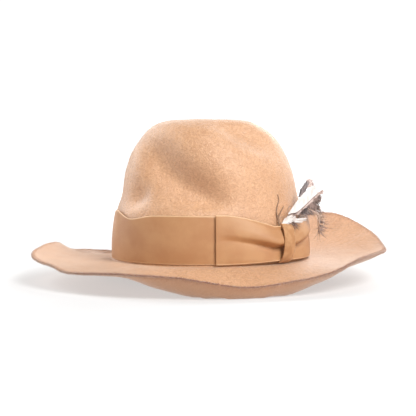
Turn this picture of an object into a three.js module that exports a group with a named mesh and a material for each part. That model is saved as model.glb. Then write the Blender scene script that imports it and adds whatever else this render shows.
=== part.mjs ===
// A soft felt fedora: a pinched crown and a waved wide brim blocked from one felt body, a ribbon band,
// a flat side bow gathered under a knot, and two small feathers tucked behind the bow.
// Millimetres, +Z up. The front of the hat faces -Y and the wearer's left, with the bow, is +X.
import * as THREE from "three";
import { mergeVertices } from "three/addons/utils/BufferGeometryUtils.js";

// Felt body
const HEAD_LENGTH = 193; // inside the crown at the brim, front to back
const HEAD_WIDTH = 164; // inside the crown at the brim, side to side
const FELT = 2.2; // thickness of the felt
const CROWN_HEIGHT = 141; // from the brim's top face at the crown's foot to the top of the crown
const BRIM_WIDTH = 76; // plan width from the foot turn to the cut edge
const BRIM_DROP = 20; // from the brim's top face at the foot down to the surface the hat rests on
const FOOT_RADIUS = 2.4; // turn from the crown wall into the brim

// Ribbon band, bow and knot
const CLEARANCE = 0.4; // between pieces that lie on each other
const RIBBON = 1.0; // thickness of the ribbon
const BAND_WIDTH = 45;
const BAND_FOOT = 2.2; // lower edge of the band above the brim's top face
const BOW_THICKNESS = 1.3; // the ribbon doubled into a flat loop
const BOW_START = 75.5; // degrees round from the front of the hat to the bow's front end
const BOW_END = 170; // and to its rear end
const BOW_HEIGHT = 45.6; // at its two flat ends
const BOW_WAIST = 32; // height of the bow where the knot gathers it
const BOW_STAND_OFF = 2.5; // room between the band and the waist for the quills
const PLEAT = 5; // how far the gathered folds stand out at the knot
const KNOT_AT = 117.5; // degrees round to the middle of the knot
const KNOT_WIDTH = 13;
const KNOT_OVERLAP = 1.2; // of the knot past the waist, at its upper and lower end
const KNOT_THICKNESS = 1.3;
const KNOT_DROP = 5; // middle of the knot below the middle of the band
const KNOT_LEAN = 3; // degrees by which its lower end lies nearer the front than its upper end

// Feathers
const WHITE_FEATHER_LENGTH = 60;
const DARK_FEATHER_LENGTH = 50;
const QUILL = 1; // thickness of a feather at its quill
const VANE = 0.6; // and at the edges of its vane

// Where each feather is tucked behind the bow: angle in degrees round from the front, height above the brim's
// foot, and out, the distance of its quill from the crown's wall. rise is its slope, and splay how far it
// turns away from the hat, in degrees.
const WHITE_TUCK = { angle: 110.5, height: 34, out: 2.2, rise: 34, splay: 8 };
const DARK_TUCK = { angle: 125, height: 41, out: 2.5, rise: 0, splay: 8 };

// Facets
const AROUND = 72; // facets round the hat
const CROWN_ROWS = 17;
const FOOT_ROWS = 2;
const BRIM_ROWS = 8;
const BAND_ROWS = 6;
const BOW_ROWS = 12;
const BOW_COLUMNS = 11;
const KNOT_ROWS = 12;
const KNOT_COLUMNS = 4;
const VANE_ROWS = 14;

// Crown sections, from the foot up. height is a share of CROWN_HEIGHT; front, back and side are shares of the
// half length and half width of the crown's foot.
const CROWN_SECTIONS = [
  { height: 0.0, front: 1.0, back: 1.0, side: 1.0 },
  { height: 0.16, front: 0.995, back: 0.995, side: 0.99 },
  { height: 0.32, front: 0.965, back: 0.955, side: 0.96 },
  { height: 0.46, front: 0.905, back: 0.895, side: 0.905 },
  { height: 0.62, front: 0.87, back: 0.835, side: 0.86 },
  { height: 0.77, front: 0.81, back: 0.74, side: 0.79 },
  { height: 0.88, front: 0.73, back: 0.61, side: 0.7 },
  { height: 0.945, front: 0.63, back: 0.48, side: 0.58 },
  { height: 0.985, front: 0.46, back: 0.35, side: 0.42 },
  { height: 1.0, front: 0.25, back: 0.19, side: 0.22 },
  { height: 1.003, front: 0.0, back: 0.0, side: 0.0 },
];

// Dents pressed into the crown. angle is in degrees round from the front, at is the height as a share of
// CROWN_HEIGHT, tilt turns the push from straight in (0) to straight down (90), and turn rolls the dent's
// long axis, from level (0). along, across and depth are shares of CROWN_HEIGHT; a depth below 0 swells out.
const DENTS = [
  { angle: 40, at: 0.65, tilt: 15, turn: -46, along: 0.29, across: 0.13, depth: 0.1 }, // pinch, left
  { angle: -44, at: 0.74, tilt: 18, turn: 40, along: 0.28, across: 0.13, depth: 0.09 }, // pinch, right
  { angle: 67, at: 0.48, tilt: 0, turn: -40, along: 0.22, across: 0.1, depth: 0.06 }, // its tail, left
  { angle: 0, at: 1.003, tilt: 90, turn: 90, along: 0.3, across: 0.15, depth: 0.08 }, // crease along the top
  { angle: 118, at: 0.84, tilt: 30, turn: -20, along: 0.2, across: 0.12, depth: 0.042 }, // hollow, rear left
  { angle: 20, at: 0.43, tilt: 0, turn: 65, along: 0.14, across: 0.08, depth: 0.04 }, // hollow by the band
  { angle: 98, at: 0.92, tilt: 50, turn: -20, along: 0.17, across: 0.1, depth: 0.04 }, // hollow, top left
  { angle: 86, at: 0.65, tilt: 12, turn: -35, along: 0.26, across: 0.14, depth: -0.03 }, // swelling, left
  { angle: 205, at: 0.7, tilt: 15, turn: 60, along: 0.2, across: 0.15, depth: 0.035 }, // hollow at the back
];

// The brim, round from the front. angle is in degrees, reach a share of BRIM_WIDTH; edge and belly are shares
// of BRIM_DROP: edge is the height of the cut edge above the foot, and belly the rise between foot and edge.
const BRIM_WAVES = [
  { angle: 0, reach: 1.0, edge: 0.25, belly: -0.1 },
  { angle: 13, reach: 0.99, edge: 0.17, belly: -0.1 },
  { angle: 22, reach: 1.0, edge: 0.0, belly: -0.1 },
  { angle: 40, reach: 1.0, edge: 0.11, belly: -0.15 },
  { angle: 52, reach: 1.0, edge: 0.08, belly: -0.6 },
  { angle: 64, reach: 1.0, edge: -0.05, belly: -0.9 },
  { angle: 80, reach: 1.0, edge: -0.42, belly: -1.15 },
  { angle: 97, reach: 1.0, edge: -0.25, belly: -0.88 },
  { angle: 112, reach: 1.0, edge: 0.03, belly: -0.5 },
  { angle: 125, reach: 1.0, edge: 0.47, belly: -0.3 },
  { angle: 140, reach: 1.0, edge: 0.58, belly: -0.25 },
  { angle: 160, reach: 0.98, edge: 0.55, belly: -0.2 },
  { angle: 180, reach: 0.98, edge: 1.15, belly: -0.1 },
  { angle: 200, reach: 0.98, edge: 1.8, belly: -0.2 },
  { angle: 220, reach: 1.0, edge: 1.4, belly: -0.5 },
  { angle: 240, reach: 1.0, edge: 0.3, belly: -0.9 },
  { angle: 258, reach: 1.0, edge: -0.4, belly: -1.1 },
  { angle: 275, reach: 1.0, edge: -0.55, belly: -1.05 },
  { angle: 290, reach: 1.0, edge: -0.35, belly: -0.75 },
  { angle: 302, reach: 1.0, edge: -0.13, belly: -0.4 },
  { angle: 312, reach: 1.0, edge: 0.02, belly: -0.3 },
  { angle: 320, reach: 1.0, edge: 0.46, belly: -0.2 },
  { angle: 335, reach: 1.0, edge: 0.42, belly: -0.1 },
];

// Where the band's upper edge buckles away from the crown, and where it is pulled down under the bow.
// angle and spread are in degrees, drop is a share of BAND_WIDTH and flare a share of RIBBON.
const BAND_BUCKLES = [
  { angle: 21, spread: 11, drop: 0.1, flare: 1.6 },
  { angle: 2, spread: 6, drop: -0.045, flare: 2.2 },
  { angle: 110, spread: 18, drop: 0.18, flare: 0 },
  { angle: 128, spread: 20, drop: 0.18, flare: 0 },
];

// The bow's gathered folds, from its lower edge (0) to its upper edge (1): out is a share of PLEAT.
const BOW_FOLDS = [
  { across: 0.0, out: 0.0 },
  { across: 0.16, out: 0.35 },
  { across: 0.33, out: 0.05 },
  { across: 0.5, out: -0.35 },
  { across: 0.66, out: 0.8 },
  { across: 0.84, out: 0.5 },
  { across: 1.0, out: 0.0 },
];

// A feather along its quill: at, left and right are shares of its length, left the upper vane and right the
// lower one.
const WHITE_VANE = [
  { at: 0.0, left: 0.012, right: 0.012 },
  { at: 0.3, left: 0.015, right: 0.015 },
  { at: 0.42, left: 0.08, right: 0.02 },
  { at: 0.6, left: 0.13, right: 0.03 },
  { at: 0.8, left: 0.14, right: 0.035 },
  { at: 0.92, left: 0.12, right: 0.03 },
  { at: 1.0, left: 0.04, right: 0.01 },
];

// The dark feather's ragged outline, in its own plane: forward and up are shares of DARK_FEATHER_LENGTH.
const DARK_OUTLINE = [
  { forward: 0.0, up: -0.15 },
  { forward: 0.05, up: -0.13 },
  { forward: 0.12, up: 0.03 },
  { forward: 0.3, up: 0.06 },
  { forward: 0.5, up: 0.08 },
  { forward: 0.53, up: -0.15 },
  { forward: 0.6, up: -0.3 },
  { forward: 0.84, up: -0.2 },
  { forward: 1.0, up: 0.0 },
  { forward: 0.8, up: 0.16 },
  { forward: 0.68, up: 0.3 },
  { forward: 0.74, up: 0.45 },
  { forward: 0.85, up: 0.6 },
  { forward: 0.68, up: 0.6 },
  { forward: 0.54, up: 0.7 },
  { forward: 0.48, up: 0.78 },
  { forward: 0.36, up: 0.76 },
  { forward: 0.24, up: 0.64 },
  { forward: 0.15, up: 0.48 },
  { forward: 0.05, up: 0.25 },
  { forward: 0.0, up: 0.0 },
];

const { degToRad, lerp, clamp, smoothstep } = THREE.MathUtils;
const shares = (count) => Array.from({ length: count + 1 }, (_, i) => i / count);
const bell = (distance) => Math.exp(-distance * distance);
const halfTurn = (angle) => Math.atan2(Math.sin(angle), Math.cos(angle));
const UP = new THREE.Vector3(0, 0, 1);

// A column of a table at any value of its key column, along a smooth curve through the rows. With a period
// the rows run on from the last one to the first.
function readTable(rows, key, column, at, period) {
  const wrapped = period ? ((at % period) + period) % period : at;
  const row = Math.max(0, rows.findLastIndex((entry) => entry[key] <= wrapped));
  const entry = (offset) => {
    const index = row + offset;
    const turns = period ? Math.floor(index / rows.length) : 0;
    const found = rows[period ? index - turns * rows.length : clamp(index, 0, rows.length - 1)];
    return { at: found[key] + turns * (period ?? 0), value: found[column] };
  };
  const [before, from, to, after] = [-1, 0, 1, 2].map(entry);
  const span = to.at - from.at;
  if (span === 0) return from.value;
  const t = (wrapped - from.at) / span;
  const leaving = (span * (to.value - before.value)) / (to.at - before.at);
  const arriving = (span * (after.value - from.value)) / (after.at - from.at);
  const rise = to.value - from.value;
  const bend = 3 * rise - 2 * leaving - arriving;
  return from.value + t * (leaving + t * (bend + t * (leaving + arriving - 2 * rise)));
}

const footHalfLength = HEAD_LENGTH / 2 + FELT;
const footHalfWidth = HEAD_WIDTH / 2 + FELT;
const sections = CROWN_SECTIONS.map((section, place) => ({ ...section, place }));
const topPlace = sections.length - 1;

// The crown's outer face before it is dented. angle is in radians round from the front, place runs along
// CROWN_SECTIONS from the foot to the top.
function blockedCrown(angle, place) {
  const read = (column) => readTable(sections, "place", column, place);
  const reach = lerp(read("back"), read("front"), 0.5 + 0.5 * Math.cos(angle));
  return new THREE.Vector3(
    Math.sin(angle) * read("side") * footHalfWidth,
    -Math.cos(angle) * reach * footHalfLength,
    read("height") * CROWN_HEIGHT,
  );
}

// The place along CROWN_SECTIONS at a height in millimetres.
function placeAt(height) {
  let low = 0;
  let high = topPlace;
  for (let step = 0; step < 40; step++) {
    const half = (low + high) / 2;
    if (readTable(sections, "place", "height", half) * CROWN_HEIGHT < height) low = half;
    else high = half;
  }
  return low;
}

// Each dent's middle and its own axes: out of the crown, round it, and up it.
const dents = DENTS.map((dent) => {
  const angle = degToRad(dent.angle);
  const tilt = degToRad(dent.tilt);
  const round = new THREE.Vector3(Math.cos(angle), Math.sin(angle), 0);
  const out = new THREE.Vector3(Math.sin(angle), -Math.cos(angle), 0).multiplyScalar(Math.cos(tilt));
  out.z = Math.sin(tilt);
  const middle = blockedCrown(angle, placeAt(dent.at * CROWN_HEIGHT));
  return { ...dent, middle, round, out, up: round.clone().cross(out).negate() };
});

// A point of the crown's outer face once every dent is pressed in. The wall under the band stays round.
function pressDents(point) {
  const bandTop = BAND_FOOT + BAND_WIDTH;
  const free = smoothstep(point.z, bandTop, bandTop + 0.1 * CROWN_HEIGHT);
  const pressed = point.clone();
  for (const dent of dents) {
    const offset = point.clone().sub(dent.middle);
    const round = offset.dot(dent.round);
    const up = offset.dot(dent.up);
    const turn = degToRad(dent.turn);
    const lengthwise = (round * Math.cos(turn) + up * Math.sin(turn)) / (dent.along * CROWN_HEIGHT);
    const crosswise = (up * Math.cos(turn) - round * Math.sin(turn)) / (dent.across * CROWN_HEIGHT);
    const sameSide = bell(offset.dot(dent.out) / (0.5 * CROWN_HEIGHT));
    const press = dent.depth * CROWN_HEIGHT * bell(Math.hypot(lengthwise, crosswise)) * sameSide * free;
    pressed.addScaledVector(dent.out, -press);
  }
  return pressed;
}

// The level outward direction from the foot of the crown at an angle round it.
function outwards(angle) {
  return new THREE.Vector3(Math.sin(angle) / footHalfWidth, -Math.cos(angle) / footHalfLength, 0).normalize();
}

// The turn from the crown's wall (turned 0) into the brim (turned a quarter), on the felt's outer face.
function footPoint(angle, turned) {
  const point = blockedCrown(angle, placeAt(FOOT_RADIUS));
  point.addScaledVector(outwards(angle), FOOT_RADIUS * (1 - Math.cos(turned)));
  point.z = FOOT_RADIUS * (1 - Math.sin(turned));
  return point;
}

// The brim's top face, from the foot turn (reach 0) to the cut edge (reach 1). Where the belly of the brim
// lies on the surface under the hat it is pressed flat.
function brimPoint(angle, reach) {
  const read = (column) => readTable(BRIM_WAVES, "angle", column, THREE.MathUtils.radToDeg(angle), 360);
  const point = footPoint(angle, Math.PI / 2);
  point.addScaledVector(outwards(angle), BRIM_WIDTH * read("reach") * reach);
  const belly = 6.75 * reach * reach * (1 - reach);
  point.z = Math.max(BRIM_DROP * (read("edge") * reach * reach + read("belly") * belly), FELT - BRIM_DROP);
  return point;
}

// A point at a height and a distance out from the crown's wall.
function wallPoint(angle, height, out) {
  const at = (a, h) => pressDents(blockedCrown(a, placeAt(h)));
  const round = at(angle + 0.01, height).sub(at(angle - 0.01, height));
  const up = at(angle, height + 1).sub(at(angle, height - 1));
  return at(angle, height).addScaledVector(round.cross(up).normalize(), out);
}

// One closed solid between two grids of points, grid[row][column]. closed joins the last column to the first,
// and a row whose points all meet is a pole.
function solidBetween(outer, inner, closed) {
  const rows = outer.length;
  const columns = outer[0].length;
  const points = [...outer.flat(), ...inner.flat()];
  const faces = [];
  const meet = (a, b) => points[a].distanceToSquared(points[b]) < 1e-8;
  const triangle = (a, b, c) => {
    if (!meet(a, b) && !meet(b, c) && !meet(c, a)) faces.push(a, b, c);
  };
  const quad = (a, b, c, d) => {
    triangle(a, b, c);
    triangle(a, c, d);
  };
  const over = (row, column) => row * columns + (column % columns);
  const under = (row, column) => rows * columns + over(row, column);
  const spans = closed ? columns : columns - 1;
  for (let j = 0; j < spans; j++) {
    for (let i = 0; i < rows - 1; i++) {
      quad(over(i, j), over(i + 1, j), over(i + 1, j + 1), over(i, j + 1));
      quad(under(i, j + 1), under(i + 1, j + 1), under(i + 1, j), under(i, j));
    }
    quad(over(0, j + 1), under(0, j + 1), under(0, j), over(0, j));
    quad(over(rows - 1, j), under(rows - 1, j), under(rows - 1, j + 1), over(rows - 1, j + 1));
  }
  for (let i = 0; !closed && i < rows - 1; i++) {
    quad(over(i, 0), under(i, 0), under(i + 1, 0), over(i + 1, 0));
    quad(over(i + 1, spans), under(i + 1, spans), under(i, spans), over(i, spans));
  }
  return mergeVertices(new THREE.BufferGeometry().setFromPoints(points).setIndex(faces), 1e-4);
}

// A grid moved out along its own normals by a distance, or in where the distance is below 0.
function offsetGrid(grid, distance, closed) {
  const columns = grid[0].length;
  const at = (i, j) => {
    const column = closed ? (j + columns) % columns : clamp(j, 0, columns - 1);
    return grid[clamp(i, 0, grid.length - 1)][column];
  };
  return grid.map((row, i) =>
    row.map((point, j) => {
      const down = at(i + 1, j).clone().sub(at(i - 1, j));
      const round = at(i, j + 1).clone().sub(at(i, j - 1));
      const out = round.lengthSq() < 1e-8 ? UP : down.cross(round).normalize();
      return point.clone().addScaledVector(out, distance);
    }),
  );
}

const angles = shares(AROUND).slice(1).map((t) => t * 2 * Math.PI);

function feltBody() {
  const footPlace = placeAt(FOOT_RADIUS);
  const crown = shares(CROWN_ROWS).map((t) =>
    angles.map((angle) => pressDents(blockedCrown(angle, lerp(topPlace, footPlace, t)))),
  );
  const quarter = Math.PI / 2;
  const foot = shares(FOOT_ROWS)
    .slice(1)
    .map((t) => angles.map((angle) => footPoint(angle, t * quarter)));
  const brim = shares(BRIM_ROWS)
    .slice(1)
    .map((t) => angles.map((angle) => brimPoint(angle, t)));
  const rows = [...crown, ...foot, ...brim];
  return solidBetween(rows, offsetGrid(rows, -FELT, true), true);
}

// Distances out from the crown's wall.
const bandOutside = CLEARANCE + RIBBON;
const bowInside = bandOutside + CLEARANCE;

function ribbonBand() {
  const face = (lift) =>
    shares(BAND_ROWS).map((down) =>
      angles.map((angle) => {
        let height = BAND_FOOT + BAND_WIDTH * (1 - down);
        let out = lift;
        for (const buckle of BAND_BUCKLES) {
          const away = halfTurn(angle - degToRad(buckle.angle));
          const near = bell(away / degToRad(buckle.spread)) * (1 - down) ** 3;
          height -= BAND_WIDTH * buckle.drop * near;
          out += RIBBON * buckle.flare * near;
        }
        return wallPoint(angle, height, out);
      }),
    );
  return solidBetween(face(bandOutside), face(CLEARANCE), true);
}

const bandMiddle = BAND_FOOT + BAND_WIDTH / 2;
const knotMiddle = bandMiddle - KNOT_DROP;

// Half of the bow, between two angles round the hat. It is gathered into folds at the knot and flat at its
// end.
function bowWing(from, to) {
  const underKnot = KNOT_LEAN + THREE.MathUtils.radToDeg(KNOT_WIDTH / 2 / footHalfWidth);
  const reach = Math.max(Math.abs(from - KNOT_AT), Math.abs(to - KNOT_AT)) - underKnot;
  const face = (lift) =>
    shares(BOW_ROWS).map((down) =>
      shares(BOW_COLUMNS).map((t) => {
        const angle = lerp(from, to, t);
        const beyondKnot = Math.max(0, Math.abs(angle - KNOT_AT) - underKnot);
        const gathered = Math.max(0, 1 - beyondKnot / (0.85 * reach)) ** 1.5;
        const height = lerp(BOW_HEIGHT, BOW_WAIST, gathered) * (0.5 - down);
        const fold = gathered * readTable(BOW_FOLDS, "across", "out", 1 - down);
        const out = bowInside + lift + gathered * BOW_STAND_OFF + PLEAT * fold;
        return wallPoint(degToRad(angle), lerp(bandMiddle, knotMiddle, gathered) + height, out);
      }),
    );
  return solidBetween(face(BOW_THICKNESS), face(0), false);
}

// The knot, a strap arched over the bow's waist from its upper edge to its lower edge.
function bowKnot() {
  const halfHeight = BOW_WAIST / 2 + KNOT_OVERLAP;
  const arch = 1.3 * PLEAT;
  const ends = bowInside + BOW_STAND_OFF;
  const inner = shares(KNOT_ROWS).map((down) =>
    shares(KNOT_COLUMNS).map((across) => {
      const turned = down * Math.PI;
      const lean = KNOT_LEAN * (down - 0.5);
      const angle = degToRad(KNOT_AT - lean) + ((across - 0.5) * KNOT_WIDTH) / (footHalfWidth + ends + arch);
      return wallPoint(angle, knotMiddle + halfHeight * Math.cos(turned), ends + arch * Math.sin(turned));
    }),
  );
  return solidBetween(offsetGrid(inner, KNOT_THICKNESS, false), inner, false);
}

// A feather's own directions where it is tucked in: forward round the hat and away from it, out, and the
// quill.
function featherAxes({ angle, height, out, rise, splay }) {
  const round = degToRad(angle);
  const away = outwards(round);
  const forward = UP.clone().cross(away).applyAxisAngle(UP, -degToRad(splay));
  const slope = degToRad(rise);
  const quill = forward.clone().multiplyScalar(Math.cos(slope)).addScaledVector(UP, Math.sin(slope));
  const face = forward.clone().cross(UP);
  return { base: wallPoint(round, height, out), forward, quill, face, left: face.clone().cross(quill) };
}

function whiteFeather() {
  const { base, quill, left, face } = featherAxes(WHITE_TUCK);
  const side = (sign) =>
    shares(VANE_ROWS).map((at) =>
      [-1, -0.5, 0, 0.5, 1].map((across) => {
        const width = readTable(WHITE_VANE, "at", across < 0 ? "right" : "left", at) * WHITE_FEATHER_LENGTH;
        const thickness = lerp(QUILL, VANE, Math.abs(across));
        return base
          .clone()
          .addScaledVector(quill, at * WHITE_FEATHER_LENGTH)
          .addScaledVector(left, across * width)
          .addScaledVector(face, (sign * thickness) / 2 - 0.15 * Math.abs(across) * width);
      }),
    );
  return solidBetween(side(1), side(-1), false);
}

function darkFeather() {
  const { base, forward, face } = featherAxes(DARK_TUCK);
  const outline = DARK_OUTLINE.map(
    (corner) => new THREE.Vector2(corner.forward, corner.up).multiplyScalar(DARK_FEATHER_LENGTH),
  );
  const plate = new THREE.ExtrudeGeometry(new THREE.Shape(outline), { depth: VANE, bevelEnabled: false });
  plate.deleteAttribute("normal");
  plate.deleteAttribute("uv");
  plate.applyMatrix4(new THREE.Matrix4().makeBasis(forward, UP, face).setPosition(base));
  return mergeVertices(plate, 1e-4);
}

const felt = { color: 0xdcae82, roughness: 0.95 };
const ribbon = { color: 0xb9814f, roughness: 0.6 };
const pieces = {
  felt_body: { geometry: feltBody(), ...felt },
  ribbon_band: { geometry: ribbonBand(), ...ribbon },
  bow_front_wing: { geometry: bowWing(BOW_START, KNOT_AT - 0.3), ...ribbon },
  bow_rear_wing: { geometry: bowWing(KNOT_AT + 0.3, BOW_END), ...ribbon },
  bow_knot: { geometry: bowKnot(), ...ribbon },
  feather_white: { geometry: whiteFeather(), color: 0xeee8e0, roughness: 0.7 },
  feather_dark: { geometry: darkFeather(), color: 0x6e625c, roughness: 0.8 },
};

const hat = new THREE.Group();
for (const [name, { geometry, color, roughness }] of Object.entries(pieces)) {
  const mesh = new THREE.Mesh(geometry, new THREE.MeshStandardMaterial({ color, roughness, metalness: 0 }));
  mesh.name = name;
  hat.add(mesh);
}

// The origin is under the middle of the hat, on the surface that it rests on.
const middle = new THREE.Box3().setFromObject(hat).getCenter(new THREE.Vector3());
hat.position.set(-middle.x, -middle.y, BRIM_DROP);

export default hat;
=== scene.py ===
"""The looks of a soft felt fedora: its body, band, bow, knot and feathers, and the stage they stand on."""

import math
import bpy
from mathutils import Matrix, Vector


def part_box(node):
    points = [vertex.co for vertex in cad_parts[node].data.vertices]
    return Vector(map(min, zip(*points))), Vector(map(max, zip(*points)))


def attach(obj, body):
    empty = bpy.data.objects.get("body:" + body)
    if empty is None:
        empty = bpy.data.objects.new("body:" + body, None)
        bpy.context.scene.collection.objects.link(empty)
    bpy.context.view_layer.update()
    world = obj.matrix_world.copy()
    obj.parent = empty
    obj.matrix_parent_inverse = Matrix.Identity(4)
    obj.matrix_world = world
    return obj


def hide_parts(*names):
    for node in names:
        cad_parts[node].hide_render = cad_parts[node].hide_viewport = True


bl_info = {
    "name": "Felt Fedora",
    "version": (1, 0, 0),
    "blender": (4, 5, 0),
    "location": "View3D > Sidebar > Hat",
    "description": "Builds a soft felt fedora with a ribbon band, a side bow and tucked feathers",
    "category": "Object",
}

import bpy
import numpy as np
from bpy.props import FloatProperty, FloatVectorProperty, IntProperty, PointerProperty
from mathutils import Vector, noise

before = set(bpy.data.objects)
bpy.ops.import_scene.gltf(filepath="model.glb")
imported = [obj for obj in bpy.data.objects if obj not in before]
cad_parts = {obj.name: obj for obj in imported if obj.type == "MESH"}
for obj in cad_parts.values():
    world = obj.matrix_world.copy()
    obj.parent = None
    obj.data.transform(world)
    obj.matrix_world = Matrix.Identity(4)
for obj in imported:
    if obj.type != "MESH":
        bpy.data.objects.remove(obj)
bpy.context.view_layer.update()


# Tables. Each has named columns; the sizes they are shares of are in the property groups below.


def table(columns, *rows):
    return {name: np.array(values, float) for name, values in zip(columns.split(), zip(*rows))}


# Crown sections, from the foot up: shares of the crown's height, half length and half width.
CROWN_SECTIONS = table(
    "height front back side",
    (0.0, 1.0, 1.0, 1.0),
    (0.16, 0.995, 0.995, 0.99),
    (0.32, 0.965, 0.955, 0.96),
    (0.46, 0.905, 0.895, 0.905),
    (0.62, 0.87, 0.835, 0.86),
    (0.77, 0.81, 0.74, 0.79),
    (0.88, 0.73, 0.61, 0.7),
    (0.945, 0.63, 0.48, 0.58),
    (0.985, 0.46, 0.35, 0.42),
    (1.0, 0.25, 0.19, 0.22),
    (1.003, 0.0, 0.0, 0.0),
)
CROWN_SECTIONS["place"] = np.arange(len(CROWN_SECTIONS["height"]), dtype=float)

# Dents pressed into the crown: angle in degrees round from the front, at as a share of the crown's height,
# tilt of the push from straight in (0) to straight down (90), turn of the long axis, and sizes as shares of
# the height.
DENTS = table(
    "angle at tilt turn along across depth",
    (40, 0.65, 15, -46, 0.29, 0.13, 0.1),
    (-44, 0.74, 18, 40, 0.28, 0.13, 0.09),
    (67, 0.48, 0, -40, 0.22, 0.1, 0.06),
    (0, 1.003, 90, 90, 0.3, 0.15, 0.08),
    (118, 0.84, 30, -20, 0.2, 0.12, 0.042),
    (20, 0.43, 0, 65, 0.14, 0.08, 0.04),
    (98, 0.92, 50, -20, 0.17, 0.1, 0.04),
    (86, 0.65, 12, -35, 0.26, 0.14, -0.03),
    (205, 0.7, 15, 60, 0.2, 0.15, 0.035),
)

# The brim round from the front: reach is a share of its width, edge and belly shares of its drop.
BRIM_WAVES = table(
    "angle reach edge belly",
    (0, 1.0, 0.25, -0.1),
    (13, 0.99, 0.17, -0.1),
    (22, 1.0, 0.0, -0.1),
    (40, 1.0, 0.11, -0.15),
    (52, 1.0, 0.08, -0.6),
    (64, 1.0, -0.05, -0.9),
    (80, 1.0, -0.42, -1.15),
    (97, 1.0, -0.25, -0.88),
    (112, 1.0, 0.03, -0.5),
    (125, 1.0, 0.47, -0.3),
    (140, 1.0, 0.58, -0.25),
    (160, 0.98, 0.55, -0.2),
    (180, 0.98, 1.15, -0.1),
    (200, 0.98, 1.8, -0.2),
    (220, 1.0, 1.4, -0.5),
    (240, 1.0, 0.3, -0.9),
    (258, 1.0, -0.4, -1.1),
    (275, 1.0, -0.55, -1.05),
    (290, 1.0, -0.35, -0.75),
    (302, 1.0, -0.13, -0.4),
    (312, 1.0, 0.02, -0.3),
    (320, 1.0, 0.46, -0.2),
    (335, 1.0, 0.42, -0.1),
)

# Where the band's upper edge buckles away from the crown, and where it is pulled down under the gathered
# bow: drop is a share of its width, flare of its thickness.
BAND_BUCKLES = table(
    "angle spread drop flare",
    (21, 11, 0.1, 1.6),
    (2, 6, -0.045, 2.2),
    (110, 18, 0.18, 0.0),
    (128, 20, 0.18, 0.0),
)

# The bow's gathered folds, from its lower edge (0) to its upper edge (1): out is a share of the pleat.
BOW_FOLDS = table(
    "across out",
    (0.0, 0.0),
    (0.1, 0.2),
    (0.22, 0.05),
    (0.35, -0.15),
    (0.44, -0.38),
    (0.5, -0.5),
    (0.55, 0.2),
    (0.61, 0.95),
    (0.71, 1.0),
    (0.84, 0.6),
    (1.0, 0.0),
)

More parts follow.
